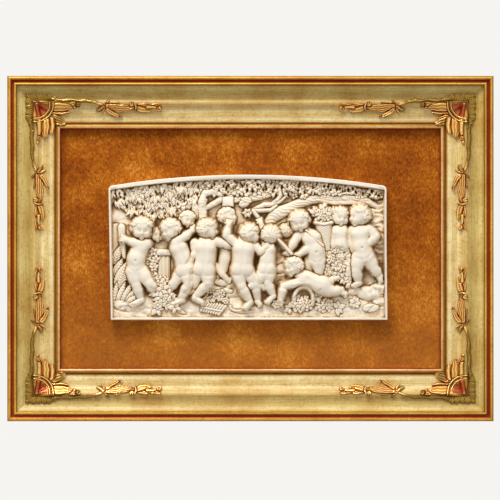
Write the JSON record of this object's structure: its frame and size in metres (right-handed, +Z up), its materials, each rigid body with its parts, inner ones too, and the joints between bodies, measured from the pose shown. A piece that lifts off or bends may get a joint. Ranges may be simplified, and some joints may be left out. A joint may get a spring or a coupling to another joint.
{
  "type": "framed ivory relief plaque",
  "caption": "Arched ivory relief of playing children, mounted on rust velvet in a moulded cream and gilt frame with leaf ornament; hangs on a wall by its back.",
  "frame": {"origin": "middle of the flat back of the top rail, where the frame is held on the wall", "axes": "+Y into the wall, so the carving looks along -Y; +X to the viewer's right; +Z up"},
  "size_m": [0.347, 0.0235, 0.2464],
  "materials": {
    "ivory": "polished ivory with brown patina in the hollows",
    "velvet": "rust velvet",
    "frame": "cream paint and gilding over red ground",
    "castings": "gilded, rubbed to the red ground",
    "board": "bare"
  },
  "bodies": {
    "root": {"ivory_plaque": "ivory", "velvet_cover": "velvet", "backing_board": "board", "rail_top": "frame", "rail_bottom": "frame", "rail_left": "frame", "rail_right": "frame", "corner_casting_top_left": "castings", "corner_casting_top_right": "castings", "corner_casting_bottom_left": "castings", "corner_casting_bottom_right": "castings", "leaf_spray_top_left": "castings", "leaf_spray_top_right": "castings", "leaf_spray_bottom_left": "castings", "leaf_spray_bottom_right": "castings", "leaf_spray_left_top": "castings", "leaf_spray_left_bottom": "castings", "leaf_spray_right_top": "castings", "leaf_spray_right_bottom": "castings"}
  },
  "joints": []
}
